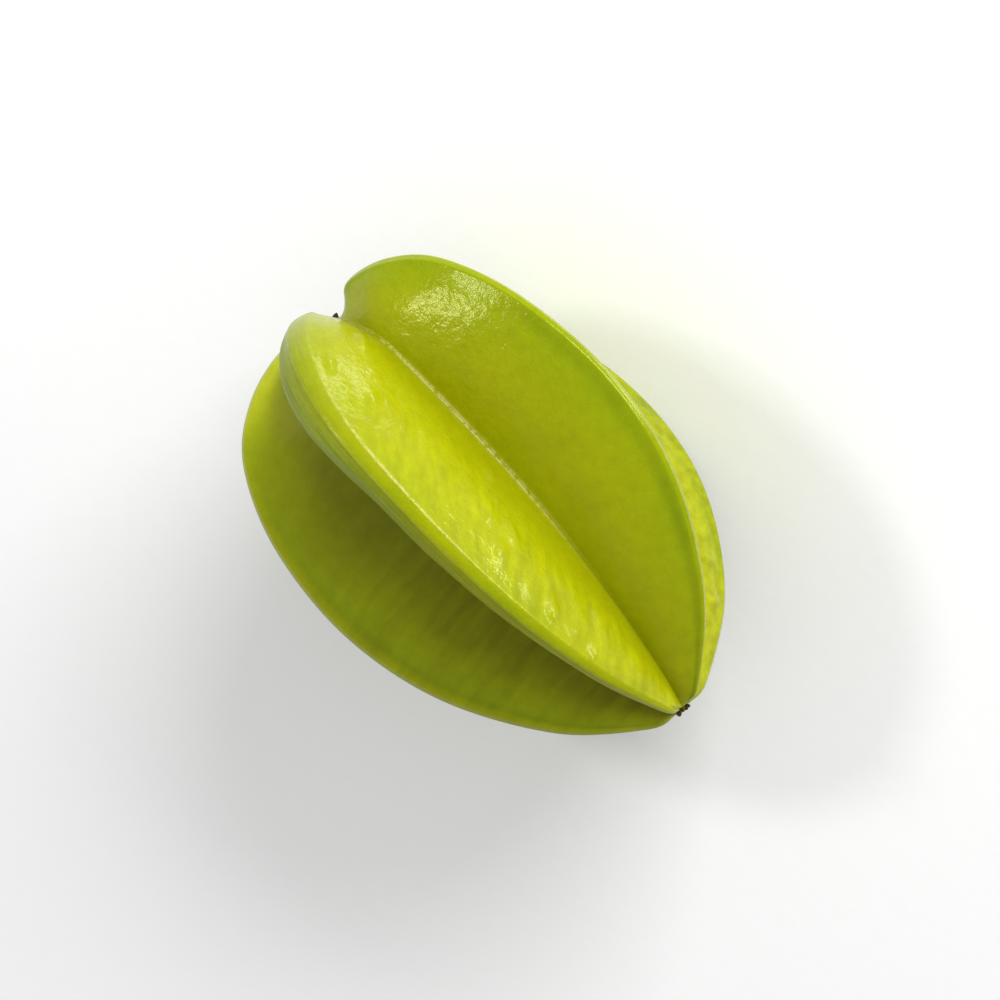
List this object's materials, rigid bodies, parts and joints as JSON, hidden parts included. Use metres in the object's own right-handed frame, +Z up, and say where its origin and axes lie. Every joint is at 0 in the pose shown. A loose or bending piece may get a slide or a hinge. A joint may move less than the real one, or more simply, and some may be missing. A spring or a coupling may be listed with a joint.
{
  "type": "star fruit",
  "caption": "Whole ribbed star fruit with waxy yellow-green skin, lying on two ribs, with a woody stalk stub in its pit and dried flower styles on its tip.",
  "frame": {"origin": "on the surface that the fruit lies on, under the middle of its bounding box", "axes": "+X along the fruit from the stem end to the blossom end, +Z up, +Y to the left when looking along +X"},
  "size_m": [0.1194, 0.087, 0.0818],
  "materials": {
    "waxy_skin": "thin waxy yellow-green skin, glossy with fine pores, yellower near the creases and greener towards the rib crests",
    "dry_stalk": "dry dark brown stalk, matt and slightly furrowed",
    "dry_style": "dried brown flower styles, matt, with paler straw-coloured hollows"
  },
  "bodies": {
    "root": {"fruit": "waxy_skin", "stem_stub": "dry_stalk", "style_star": "dry_style"}
  },
  "joints": []
}
